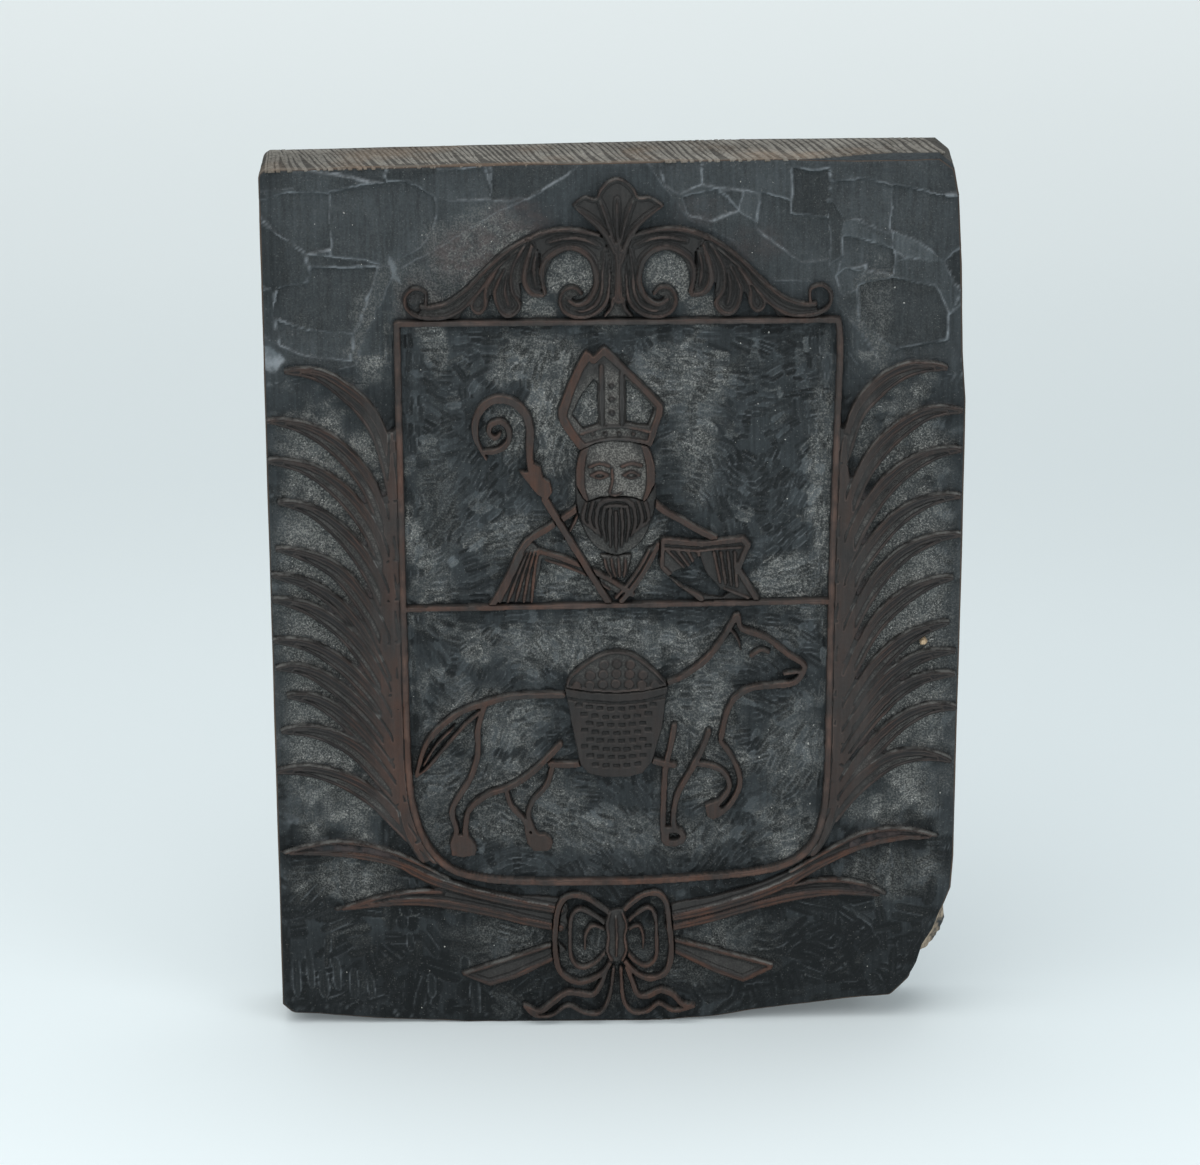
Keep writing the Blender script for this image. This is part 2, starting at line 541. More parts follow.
# The ground's height and the maps that its paint reads
def makeGround():
    g = groundLook
    strokeHeights, tone, grit = cutStrokes()
    ground = strokeHeights.copy()
    upper = (fromMiddle > g["fieldHalf"] - 1) | (mapZ > g["crestFrom"])
    upper = smooth01((mapZ - g["wasteFrom"]) / 10) * upper
    tone = tone * (1 - upper) + (g["wasteTone"] + 0.05 * patchNoise) * upper
    facetArea, crease = cutFacets(ground, tone, grit)
    ground = blur(cadGround, 2.0) * g["solidShare"] + ground
    ground = blur(ground.astype(np.float32), facets["smooth"])
    ground = ground + softNoise(9, 31) * 0.10 + softNoise(1.2, 32, 3.0) * 0.02
    ground = np.maximum(ground, np.where(reliefGap < 1.2, g["besideMotif"], g["deepest"]))
    tone, grit = blur(tone, 0.06), blur(grit, 0.06)
    # the palms' hearts are filled
    onPalms = fromMiddle > g["fieldHalf"]
    packed = smooth01((blur((reliefGap <= 0).astype(np.float32), 1.3) - 0.52) / 0.2) * onPalms
    ground = ground + (g["heartFill"] * packed).astype(np.float32)
    # crests between cuts catch light, and ink gathers in what lies lower than its surroundings
    ridge = np.clip((ground - blur(ground, 0.4) - 0.015) * g["ridge"], 0, 1)
    ridge = ridge * np.where(facetArea, g["facetRidge"], 1.0)
    ridge = np.maximum(ridge, np.maximum(crease, (tone - 0.6) * 4)) * smooth01((reliefGap - 0.6) / 1.0)
    surface = np.maximum(ground, allHeights)
    cavity = np.clip((blur(surface, 0.3) - surface) * g["cavity"], 0, 1)
    # dust gathers beside the motifs, shows the cuts, and fades to the long sides and at the foot
    rim = smooth01((mapX + g["side"]) / 9) * smooth01((g["side"] - mapX) / 12)
    near = np.exp(-(reliefGap / g["dustReach"]) ** 2)
    stipple = dusty * (0.05 + 0.92 * near) + grit * (1.15 - 0.4 * near)
    stipple = np.where(facetArea, g["facetDust"] * dusty + 0.08, stipple)
    combed = np.clip(0.85 + (blur(strokeHeights, 0.15) - blur(strokeHeights, 1.2)) * g["combing"], 0.2, 1.5)
    combed = combed + (1 - combed) * onPalms
    stipple = stipple * combed * smooth01((reliefGap - 0.02) / 0.25) * (1 - 0.85 * packed)
    lowFoot = smooth01((g["footTop"] - mapZ) / 10) * smooth01((np.abs(mapX) - 30) / 20)
    lowField = smooth01((g["lowFieldTop"] - mapZ) / 4) * (fromMiddle < g["fieldHalf"])
    stipple = stipple * (1 - 0.75 * lowFoot) * (1 - 0.2 * lowField) * (0.15 + 0.85 * rim)
    maps = {"tone": tone * (1 - 0.5 * lowFoot), "dust": np.clip(stipple, 0, 1.2).astype(np.float32),
            "ridge": ridge, "cavity": cavity, "brown": np.maximum(placesMap(brownPlaces), 1.3 * packed)}
    return ground, maps


ground, faceMaps = makeGround()
stage("cut the ground")


# Meshes

corners = ((0, 0), (0, 1), (1, 1), (1, 0))      # row and column of a cell's corners, in order round it
backwards = ((0, 0), (1, 0), (1, 1), (0, 1))


def link(name, me):
    ob = bpy.data.objects.new(name, me)
    bpy.context.scene.collection.objects.link(ob)
    return ob


# A mesh from arrays: vertices in mm, quads and triangles, a smooth flag per face, float attributes per vertex
def arrayMesh(name, verts, quads, smooth, attributes, tris=None):
    tris = np.zeros((0, 3), dtype=np.int64) if tris is None else tris
    me = bpy.data.meshes.new(name)
    nq, nt = len(quads), len(tris)
    me.vertices.add(len(verts))
    me.loops.add(nq * 4 + nt * 3)
    me.polygons.add(nq + nt)
    me.vertices.foreach_set("co", (np.asarray(verts) * mm).astype(np.float32).ravel())
    me.loops.foreach_set("vertex_index", np.concatenate([quads.ravel(), tris.ravel()]).astype(np.int32))
    starts = np.concatenate([np.arange(nq) * 4, nq * 4 + np.arange(nt) * 3]).astype(np.int32)
    me.polygons.foreach_set("loop_start", starts)
    me.polygons.foreach_set("use_smooth", np.asarray(smooth, dtype=bool))
    me.update(calc_edges=True)
    for key, values in attributes.items():
        data = me.attributes.new(key, "FLOAT", "POINT").data
        data.foreach_set("value", np.asarray(values, dtype=np.float32))
    me.validate()
    return me


def gridQuads(index):
    return np.stack([index[:-1, :-1], index[:-1, 1:], index[1:, 1:], index[1:, :-1]], -1)


# Cells with all corners shown and the first one owned; no two of them are left touching at a point only
def cellsOf(owned, shown):
    cells = owned[:-1, :-1] & shown[1:, :-1] & shown[:-1, 1:] & shown[1:, 1:]
    for _ in range(4):
        a, b, c, d = cells[:-1, :-1], cells[:-1, 1:], cells[1:, :-1], cells[1:, 1:]
        cross1, cross2 = a & d & ~b & ~c, b & c & ~a & ~d
        if not (cross1.any() or cross2.any()):
            break
        cells[:-1, 1:] |= cross1
        cells[:-1, :-1] |= cross2
    return cells


# The flat underside: a full block of cells becomes one fan of triangles about its middle, the rest stays fine
def underside(cells, block=4):
    bz, bx = cells.shape[0] // block, cells.shape[1] // block
    full = cells[:bz * block, :bx * block].reshape(bz, block, bx, block).all(axis=(1, 3))
    fine = cells.copy()
    fine[:bz * block, :bx * block] &= ~np.repeat(np.repeat(full, block, axis=0), block, axis=1)
    around = np.pad(full, 1)
    fans = [np.zeros((3, 2, 0), dtype=np.int64)]
    for k, (dr, dc) in enumerate(((0, -1), (1, 0), (0, 1), (-1, 0))):
        (ar, ac), (br, bc) = backwards[k], backwards[(k + 1) % 4]
        beside = around[1 + dr:1 + dr + bz, 1 + dc:1 + dc + bx]
        for mask, parts in ((full & beside, 1), (full & ~beside, block)):
            r, c = (v * block for v in np.where(mask))
            for j in range(parts):
                ends = [(r + ar * block + (br - ar) * s, c + ac * block + (bc - ac) * s)
                        for s in (j * block // parts, (j + 1) * block // parts)]
                fans.append(np.array([(r + block // 2, c + block // 2)] + ends))
    return fine, np.concatenate(fans, axis=2)


# A closed mesh: a height field over chosen cells of a grid, straight walls, a flat bottom inside the plank
def blockMesh(name, x, z, y, cells, bottomY, attributes):
    nz, nx = cells.shape
    fine, fans = underside(cells)
    r, c = np.where(cells)
    fr, fc = np.where(fine)
    above, below = np.zeros((2, nz + 1, nx + 1), dtype=bool)
    for row, col in corners:
        above[r + row, c + col] = True
        below[fr + row, fc + col] = True
    below[fans[:, 0], fans[:, 1]] = True
    index, low = -np.ones((2, nz + 1, nx + 1), dtype=np.int64)
    index[above] = np.arange(above.sum())
    low[below] = above.sum() + np.arange(below.sum())
    gx, gz = np.meshgrid(x, z)
    top = np.stack([gx[above], y[above], gz[above]], axis=1)
    bottom = np.stack([gx[below], np.full(int(below.sum()), float(bottomY)), gz[below]], axis=1)
    quads = [np.stack([index[r + row, c + col] for row, col in corners], 1),
             np.stack([low[fr + row, fc + col] for row, col in backwards], 1)]
    padded = np.pad(cells, 1)
    for k, (dr, dc) in enumerate(((-1, 0), (0, 1), (1, 0), (0, -1))):
        r, c = np.where(cells & ~padded[1 + dr:1 + dr + nz, 1 + dc:1 + dc + nx])
        (a0, a1), (b0, b1) = corners[(k + 1) % 4], corners[k]
        a, b = (r + a0, c + a1), (r + b0, c + b1)
        quads.append(np.stack([index[a], index[b], low[b], low[a]], 1))
    sizes = [len(q) for q in quads]
    smooth = np.zeros(sum(sizes) + fans.shape[2], dtype=bool)
    smooth[:sizes[0]] = True
    attrs = {k: np.concatenate([v[above], np.zeros(len(bottom))]) for k, v in attributes.items()}
    verts = np.concatenate([top, bottom])
    return arrayMesh(name, verts, np.concatenate(quads), smooth, attrs, low[fans[:, 0], fans[:, 1]].T)


def finishPiece(ob, node, slot, *materials):
    for material in materials:
        ob.data.materials.append(material)
    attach(ob, "root")
    if node:
        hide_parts(node)


# Node trees: a value is an output of a node, and sums, differences and products of values make Math nodes

class Value:
    def __init__(self, tree, socket):
        self.tree = tree
        self.socket = socket

    def math(self, operation, other=0.0):
        return add(self.tree, "ShaderNodeMath", {0: self, 1: other}, operation=operation)

    def fit(self, low, high, outLow=0.0, outHigh=1.0, **settings):
        sockets = {"Value": self, "From Min": low, "From Max": high, "To Min": outLow, "To Max": outHigh}
        return add(self.tree, "ShaderNodeMapRange", sockets, **settings)

    def __add__(self, other):
        return self.math("ADD", other)

    def __sub__(self, other):
        return self.math("SUBTRACT", other)

    def __rsub__(self, other):
        return add(self.tree, "ShaderNodeMath", {0: other, 1: self}, operation="SUBTRACT")

    def __mul__(self, other):
        return self.math("MULTIPLY", other)

    __radd__ = __add__
    __rmul__ = __mul__


def connect(value, target):
    if isinstance(value, Value):
        value.tree.links.new(value.socket, target)
    elif target.type == "RGBA":
        target.default_value = (*value, 1.0)
    else:
        target.default_value = value


def addNode(tree, kind, inputs=None, **settings):
    n = tree.nodes.new(kind)
    for key, setting in settings.items():
        setattr(n, key, setting)
    for key, value in (inputs or {}).items():
        connect(value, n.inputs[key])
    return n


def add(tree, kind, inputs=None, out=0, **settings):
    return Value(tree, addNode(tree, kind, inputs, **settings).outputs[out])


# A node tree with named inputs and outputs; the kind of an input is given, or follows from its value
def newTree(kind, name, inputs, outputs):
    tree = bpy.data.node_groups.new(name, kind)
    for label, value in inputs.items():
        found = value
        if not isinstance(value, str):
            found = "Float" if isinstance(value, float) else "Int" if isinstance(value, int) else "Color"
        made = tree.interface.new_socket(label, in_out="INPUT", socket_type="NodeSocket" + found)
        if found != value:
            made.default_value = (*value, 1.0) if found == "Color" else value
    for label, found in outputs.items():
        tree.interface.new_socket(label, in_out="OUTPUT", socket_type="NodeSocket" + found)
    start, end = tree.nodes.new("NodeGroupInput"), tree.nodes.new("NodeGroupOutput")
    return tree, {s.name: Value(tree, s) for s in start.outputs}, end.inputs


# The outputs of a group at a point, with some of its named inputs set
def use(group, at, **inputs):
    n = addNode(at.tree, "ShaderNodeGroup", {"Vector": at, **inputs}, node_tree=group)
    return {s.name: Value(at.tree, s) for s in n.outputs}


def mix(fac, a, b, blend="MIX"):
    tree = next(v.tree for v in (fac, a, b) if isinstance(v, Value))
    return add(tree, "ShaderNodeMix", {0: fac, 6: a, 7: b}, 2, data_type="RGBA", blend_type=blend)


def noise(at, scale, detail=3.0, rough=0.6):
    inputs = {"Vector": at, "Scale": scale, "Detail": detail, "Roughness": rough}
    return add(at.tree, "ShaderNodeTexNoise", inputs)


def stretched(at, factors):
    return add(at.tree, "ShaderNodeVectorMath", {0: at, 1: factors}, operation="MULTIPLY")


def split(at):
    return [Value(at.tree, s) for s in addNode(at.tree, "ShaderNodeSeparateXYZ", {0: at}).outputs]


def combine(x, y, z):
    tree = next(v.tree for v in (x, y, z) if isinstance(v, Value))
    return add(tree, "ShaderNodeCombineXYZ", {0: x, 1: y, 2: z})


# The mesh attributes of those names, as values
def marks(at, *names):
    return [add(at.tree, "ShaderNodeAttribute", out="Fac", attribute_name=name) for name in names]


# Materials: Principled shaders in each material, shared effects as groups with named sockets

# Dried printing ink: near black where it lies thick, blue-grey where rubbed, with hairlines along the grain
def inkGroup():
    inputs = {"Vector": "Vector", "Tone": 0.3, "Deep": (0.008, 0.010, 0.011), "Rubbed": (0.108, 0.127, 0.138)}
    tree, i, o = newTree("ShaderNodeTree", "driedInk", inputs, {"Color": "Color"})
    at = i["Vector"]
    broad, hairs, fine = [n.fit(0.3, 0.7, -0.5, 0.5) for n in (
        noise(at, 60.0, 5.0, 0.62), noise(stretched(at, (1.0, 1.0, 0.06)), 900.0), noise(at, 1200.0))]
    film = broad * 0.52 + hairs * 0.50 + fine * 0.30
    connect(mix(i["Tone"] * (film + 1.0) + film * 0.10, i["Deep"], i["Rubbed"]), o["Color"])
    return tree


# Pale dust and dried size caught in the rough ground: broken patches made of fine grains, some of them bright
def dustGroup():
    inputs = {"Vector": "Vector", "Amount": 0.5, "Fineness": 1850.0}
    outputs = {"Dust": "Float", "Grains": "Float", "Bright": "Float"}
    tree, i, o = newTree("ShaderNodeTree", "groundDust", inputs, outputs)
    at, amount = i["Vector"], i["Amount"]
    patches = noise(at, 170.0, 4.0).fit(0.36, 0.54, 0.7, 1.0).math("MAXIMUM", amount.fit(0.35, 0.85))
    grains = noise(at, i["Fineness"], 1.5, 0.7).fit(0.45, 0.60)
    soft = noise(at, 420.0).fit(0.38, 0.62)
    dust = grains * (soft * 0.35 + 0.65) + (soft * 0.20 + 0.12)
    connect(patches * dust * amount, o["Dust"])
    connect(grains, o["Grains"])
    connect(noise(at, 1700.0, 1.0).fit(0.67, 0.73) * (amount * amount + 0.10), o["Bright"])
    return tree


# Fine vertical grain and pores of a close hardwood
def grainGroup():
    inputs = {"Vector": "Vector", "Light": (0.30, 0.19, 0.11), "Dark": (0.12, 0.065, 0.035)}
    tree, i, o = newTree("ShaderNodeTree", "woodGrain", inputs, {"Color": "Color", "Pores": "Float"})
    band = noise(stretched(i["Vector"], (1.0, 1.0, 0.07)), 130.0, 5.0)
    pore = noise(stretched(i["Vector"], (1.0, 1.0, 0.05)), 1300.0, 2.0)
    connect(mix((band * 0.7 + pore * 0.3).fit(0.38, 0.64), i["Dark"], i["Light"]), o["Color"])
    connect(pore, o["Pores"])
    return tree


inkTree, dustTree, grainTree = inkGroup(), dustGroup(), grainGroup()
darkest = (0.006, 0.006, 0.006)


def newMaterial(name, roughness, specular):
    m = bpy.data.materials.new(name)
    m.use_nodes = True
    shader = m.node_tree.nodes["Principled BSDF"]
    connect(roughness, shader.inputs["Roughness"])
    connect(specular, shader.inputs["Specular IOR Level"])
    return m, shader, add(m.node_tree, "ShaderNodeTexCoord", out="Object")


# Gives the shader its colour, and fine relief from a height that is worth that distance in metres
def finishPaint(shader, base, height=None, distance=0.0):
    connect(base, shader.inputs["Base Color"])
    if height:
        connect(add(height.tree, "ShaderNodeBump", {"Height": height, "Distance": distance, "Strength": 1.0}),
                shader.inputs["Normal"])


# The cut ground of the face: ink by the tone of each cut, dust grains, pale crests between the cuts
def facePaint(name):
    m, shader, co = newMaterial(name, 0.5, 0.16)
    tone, dusting, brown, ridge, cavity = marks(co, "tone", "dust", "brown", "ridge", "cavity")
    dust = use(dustTree, co, Amount=dusting)
    base = mix(dust["Dust"], use(inkTree, co, Tone=tone)["Color"], (0.235, 0.24, 0.228))
    base = mix(dust["Bright"], base, (0.48, 0.48, 0.46))
    crumbly = noise(co, 260.0, 5.0, 0.7).fit(0.40, 0.60, 0.15, 1.0)
    base = mix(brown * crumbly * 0.7, base, (0.080, 0.062, 0.060))
    crest = noise(co, 200.0).fit(0.42, 0.60, 0.15, 1.0)
    base = mix(ridge * crest * 0.95, base, (0.235, 0.26, 0.28))
    connect(dust["Dust"].fit(0.0, 1.0, 0.48, 0.85), shader.inputs["Roughness"])
    rough = (dust["Grains"] + noise(co, 1300.0)) * (dusting + 0.25)
    finishPaint(shader, mix(cavity * 0.9, base, darkest), rough, 0.00014)
    return m


# The printing lines: dark ink on flanks and tops, rubbed to red-brown wood where hands and paper wore them
def linePaint(name):
    m, shader, co = newMaterial(name, 0.48, 0.28)
    ink, top, rubbed, veins, dusting = marks(co, "ink", "top", "rub", "veins", "dust")
    inward, glow, crown, lip, cavity = marks(co, "inward", "glow", "crown", "lip", "cavity")
    grain = use(grainTree, co, Light=(0.105, 0.044, 0.026), Dark=(0.040, 0.024, 0.018))
    film = use(inkTree, co, Tone=ink, Deep=(0.010, 0.010, 0.010), Rubbed=(0.090, 0.084, 0.080))
    rub = top * rubbed * noise(stretched(co, (1.0, 1.0, 0.6)), 75.0, 5.0, 0.65).fit(0.36, 0.62, 0.15, 1.25)
    base = mix(rub, film["Color"], grain["Color"])
    # thin grooves that run along inside the outline, as leaves have them
    turns = (inward + noise(co, 60.0, 2.0, 0.5) * 0.4) * 7.4
    groove = turns.math("COSINE").fit(0.1, -0.8) * veins
    base = mix(groove * 0.85, base, (0.012, 0.012, 0.013))
    base = mix(use(dustTree, co, Amount=dusting)["Dust"], base, (0.185, 0.18, 0.165))
    # the edge of the top is rubbed first, and dust lies on what faces up the block
    edge = (inward - 0.24).math("ABSOLUTE").fit(0.24, 0.0) * glow
    edge = edge.math("MAXIMUM", crown) * noise(co, 160.0).fit(0.44, 0.62, 0.1, 1.0) * 0.42
    base = mix(edge, base, mix(rubbed, (0.10, 0.096, 0.092), (0.215, 0.092, 0.054)))
    lip = lip * (inward - 0.08).math("ABSOLUTE").fit(0.20, 0.0) * noise(co, 230.0).fit(0.40, 0.60, 0.1, 1.0)
    base = mix(lip, base, (0.19, 0.195, 0.185))
    connect(rub.fit(0.0, 1.0, 0.44, 0.55), shader.inputs["Roughness"])
    fine = noise(co, 1500.0, 2.0) + grain["Pores"]
    finishPaint(shader, mix(cavity * 0.9, base, darkest), fine - groove * 3.6, 0.0001)
    return m


# Planed long sides and back: aged wood under a thin, uneven stain of ink
def sidePaint(name, light, dark, inkShare):
    m, shader, co = newMaterial(name, 0.6, 0.3)
    grain = use(grainTree, co, Light=light, Dark=dark)
    stain = noise(co, 22.0, 5.0).fit(0.62 - inkShare * 0.4, 0.78 - inkShare * 0.4, 1.0, 0.1)
    base = mix(stain, grain["Color"], use(inkTree, co, Tone=0.25)["Color"])
    finishPaint(shader, base, grain["Pores"] + noise(co, 300.0), 0.00015)
    return m


# End grain of the top: rough grey-brown, warmer along the worn front arris, inked where the attribute says so
def endPaint(name, dark, light):
    m, shader, co = newMaterial(name, 0.85, 0.15)
    speck = noise(co, 900.0, 3.0, 0.7)
    broad = noise(stretched(co, (0.6, 1.0, 1.0)), 70.0, 4.0)
    f = (speck * 0.55 + broad * 0.45).fit(0.38, 0.62)
    tan = noise(co, 38.0).fit(0.50, 0.64, 0.0, 0.45)
    base = mix(tan, mix(f, dark, light), mix(f, (0.075, 0.052, 0.036), (0.235, 0.175, 0.125)))
    edge = (split(co)[1] + broad * 0.008).fit(-0.0060, -0.0042, 1.0, 0.0)
    warm = mix(noise(co, 45.0, 4.0).fit(0.42, 0.6), (0.20, 0.185, 0.16), (0.25, 0.165, 0.11))
    base = mix(edge * 0.3, base, warm)
    base = mix(marks(co, "inked")[0], base, use(inkTree, co, Tone=0.24)["Color"])
    finishPaint(shader, base, speck, 0.0003)
    return m


# Bare wood in the broken corner: pale and splintery along the grain
def breakPaint(name):
    m, shader, co = newMaterial(name, 0.75, 0.3)
    grain = use(grainTree, co, Light=(0.52, 0.43, 0.32), Dark=(0.12, 0.085, 0.060))
    patch = noise(co, 120.0, 4.0).fit(0.52, 0.60)
    base = mix(patch, grain["Color"], use(inkTree, co, Tone=0.2)["Color"])
    finishPaint(shader, base, noise(stretched(co, (1.0, 1.0, 0.15)), 500.0), 0.0005)
    return m


# Loose specks of pale dust and dried size
def crumbPaint(name):
    m, shader, co = newMaterial(name, 0.9, 0.1)
    shade = noise(co, 90.0, 2.0, 0.5).fit(0.35, 0.65)
    finishPaint(shader, mix(shade, (0.22, 0.225, 0.22), (0.62, 0.62, 0.58)))
    return m


# Fresh wood of the sliver that broke off
def sliverPaint(name):
    m, shader, co = newMaterial(name, 0.8, 0.2)
    grain = use(grainTree, co, Light=(0.62, 0.47, 0.31), Dark=(0.33, 0.22, 0.13))
    finishPaint(shader, grain["Color"], grain["Pores"], 0.0001)
    return m


faceMaterial = facePaint("inkedFace")
lineMaterial = linePaint("wornLines")
sideMaterial = sidePaint("inkedSides", (0.10, 0.066, 0.044), (0.030, 0.020, 0.015), 0.75)
backMaterial = sidePaint("backWood", (0.24, 0.15, 0.088), (0.09, 0.052, 0.03), 0.15)
endMaterial = endPaint("sawnEnd", (0.030, 0.028, 0.025), (0.100, 0.094, 0.084))
ridgeMaterial = endPaint("sawnRidges", (0.095, 0.090, 0.080), (0.250, 0.239, 0.213))
breakMaterial = breakPaint("brokenCorner")
crumbMaterial = crumbPaint("paleCrumbs")
stage("made the materials")


# The relief pieces

rubPlaces = {       # where lines are rubbed more, or less: x, z, half width, half height, strength
    "more": [(-61, 130, 6, 75, 0.15), (64, 130, 6, 75, 0.12), (-2, 46, 60, 7, 0.3), (-66, 90, 6, 50, 0.25),
             (-58, 56, 12, 12, 0.3), (-40, 129, 24, 3, 0.3), (-14, 190, 5, 18, 0.25), (-24, 140, 8, 12, 0.3),
             (-22, 165, 10, 14, 0.25), (60, 52, 14, 9, 0.2)],
    "less": [(-92, 120, 15, 80, 0.35), (92, 120, 16, 80, 0.3), (0, 238, 9, 12, 0.2), (0, 214, 60, 3, 0.35),
             (-6, 40, 9, 9, 0.3), (-0.5, 190, 6, 16, 0.6), (-1, 181, 10, 4, 0.4)],
}
reliefBottom, edgeMargin = 1.6, 0.35      # how far pieces reach into the plank, and stay inside its outline
rubMap = placesMap(rubPlaces["more"]) - placesMap(rubPlaces["less"])
outerLeaves = smooth01((fromMiddle - 69) / 9) * np.ones((rows, 1))      # only there the leaflets have veins


def makeRelief():
    total, g = 0, carving["grain"]

    def pick(a):
        return a[::g, ::g]

    for name, family in families.items():
        win, maps = carved[name]
        data = {key: pick(a) for key, a in maps.items()}
        h = data["height"]
        shown = (h > -carving["foot"] + 0.05) & (pick(insidePlank[win]) > edgeMargin)
        veined = pick(outerLeaves[win]) if family.get("closed") else np.ones(h.shape)
        attrs = {
            "top": smooth01((h / relief - 0.80) / 0.12),
            "crown": data["crown"],
            "glow": np.full(h.shape, family["glow"]),
            "rub": family["rub"] * (0.38 + 0.62 * veined) + pick(rubMap[win]),
            "dust": data["low"] * np.clip(pick(dusty[win]), 0.1, 1) * family["dust"],
            "cavity": pick(faceMaps["cavity"][win]),
            "lip": data["lip"] * family["lip"],
            "inward": data["inward"],
            "veins": family["veins"] * veined,
            "ink": np.full(h.shape, family["ink"]),
        }
        for k, node in enumerate(family["nodes"]):
            cells = cellsOf(shown & (data["owner"] == k), shown)
            me = blockMesh(node, xs[win[1]][::g], zs[win[0]][::g], groundY - h, cells,
                           groundY + reliefBottom, attrs)
            finishPiece(link("carved_" + node, me), node, "worn_wood", lineMaterial)
            total += len(me.polygons) * 2
    stage(f"made the relief, {total} triangles")


makeRelief()


# Finer ground over the plank's own front: the two fields of the shield, the waste above and the foot below

groundSkin = {"grain": 3, "lift": 0.05, "dip": 0.6, "wasteFrom": 197.0, "footTo": 58.0, "rim": 2.2,
              "bottom": 3.4, "fieldSunk": 0.9, "lineEnds": 0.7, "lineCells": 4}


# Cells between the left and the right line of the shield
def shieldInside():
    low, high = [c.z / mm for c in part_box("shield_frame")]
    out = np.zeros((rows, cols), dtype=bool)
    inset, ends = groundSkin["lineCells"], groundSkin["lineEnds"]
    for r in range(rows):
        on = np.where(shieldLines[r])[0]
        if len(on) and low + ends < zs[r] < high - ends and xs[on[0]] < 0 < xs[on[-1]]:
            out[r, on[0] + inset:on[-1] - inset] = True
    return out


insideShield = shieldInside()
barZ = sum(c.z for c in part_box("shield_bar")) / 2 / mm
rimInside = (insidePlank > groundSkin["rim"]) & ~insideShield
skins = {
    "field_lower": insideShield & (mapZ < barZ),
    "field_upper": insideShield & (mapZ >= barZ),
    "waste_top": rimInside & (mapZ > groundSkin["wasteFrom"]),
    "waste_foot": rimInside & (mapZ < groundSkin["footTo"]),
}
sunk = np.zeros((rows, cols), dtype=np.float32)      # how far the plank's own surface lies under the skins


def makeSkins():
    g, s = groundSkin["grain"], groundSkin
    for name, mask in skins.items():
        zi, xi = np.where(mask)
        rr = np.arange(zi.min() // g * g, min(zi.max() + g, rows), g)
        cc = np.arange(xi.min() // g * g, min(xi.max() + g, cols), g)
        if name.startswith("field"):
            dip = 0
            sunk[mask] = s["fieldSunk"]
        else:
            d = signedDistance(mask, 3.6)
            dip = s["dip"] * (1 - smooth01((d - 0.2) / 0.8))
            sunk[:] = np.maximum(sunk, s["dip"] * smooth01((d - 1.4) / 1.6))
        y = groundY - (ground + s["lift"] - dip)
        at = np.ix_(rr, cc)
        m = mask[at]
        if name == "field_lower":
            m = m | (insideShield[at] & (zs[rr][:, None] < barZ + g * step))
        attrs = {key: values[at] for key, values in faceMaps.items()}
        me = blockMesh(name, xs[cc], zs[rr], y[at], cellsOf(m, m), groundY + s["bottom"], attrs)
        finishPiece(link(name, me), None, "inked_wood", faceMaterial)
        stage(f"{name}: {len(me.polygons) * 2} triangles")


makeSkins()


# The plank: a grid over the face, its sides in rings, and a flat back

plankMesh = {
    "columns": 236, "coarseRows": 186, "fineRows": 100, "fineFrom": 0.765,       # finer rows over the waste
    "sideRings": 7, "backRings": (0.9, 0.6, 0.3), "edgeInset": 0.5,
    "ridgeRoom": 0.5, "topFade": 5.0, "topBand": 2.6, "sawnBand": 4.5, "corner": 2.6, "footDown": 1.1,
    "lump": 0.10, "breakAt": (92.3, 27.5), "breakOver": 7.6, "breakOut": 2.4, "seed": 5,
    # where the outline is fuller than its grid: x, z, reach, move in x and z
    "fuller": [(86, 13, 9, 1.3, -0.4), (79, 6.5, 8, 0.4, -0.4), (-99, 5, 8, 0, -0.9)],
}
chamfer = {"from": 46.0, "over": 34.0, "down": 1.0, "back": 6.5}      # worn strip behind the top edge


# The plank's outline in order round it, read from the back face of its node
def plankOutline():
    t = nodeTriangles("plank").reshape(-1, 3)
    p = t[np.abs(t[:, 1] - cadHigh.y) < 0.01][:, [0, 2]]
    p = np.unique(np.round(p, 3), axis=0)
    mid = (p.min(0) + p.max(0)) / 2
    a = np.arctan2(p[:, 1] - mid[1], p[:, 0] - mid[0])
    return p[np.argsort(a)]


outlinePoints = plankOutline()
outlineMid = (outlinePoints.min(0) + outlinePoints.max(0)) / 2
outlineHalf = (outlinePoints.max(0) - outlinePoints.min(0)) / 2
topPoints = outlinePoints[outlinePoints[:, 1] > cadHigh.z - plankMesh["topBand"]]
topPoints = topPoints[np.argsort(topPoints[:, 0])]


def topAt(x):
    return np.interp(x, topPoints[:, 0], topPoints[:, 1])


def walk(points, fractions):
    d = np.concatenate([[0], np.cumsum(np.linalg.norm(np.diff(points, axis=0), axis=1))])
    s = np.asarray(fractions) * d[-1]
    return np.stack([np.interp(s, d, points[:, 0]), np.interp(s, d, points[:, 1])], axis=1)


# Rounds the upper left corner: a square of points goes over to a quarter of a disc
def roundCorner(px, pz):
    r = plankMesh["corner"]
    a, b = (cadLow.x + r - px) / r, (pz - topAt(cadLow.x) + r) / r
    both = (a > 0) & (b > 0)
    share = np.where(both, np.maximum(a, b) / np.maximum(np.hypot(a, b), 0.001), 1)
    newX, newZ = cadLow.x + r - a * share * r, topAt(cadLow.x) - r + b * share * r
    return np.where(both, newX, px), np.where(both, newZ, pz)


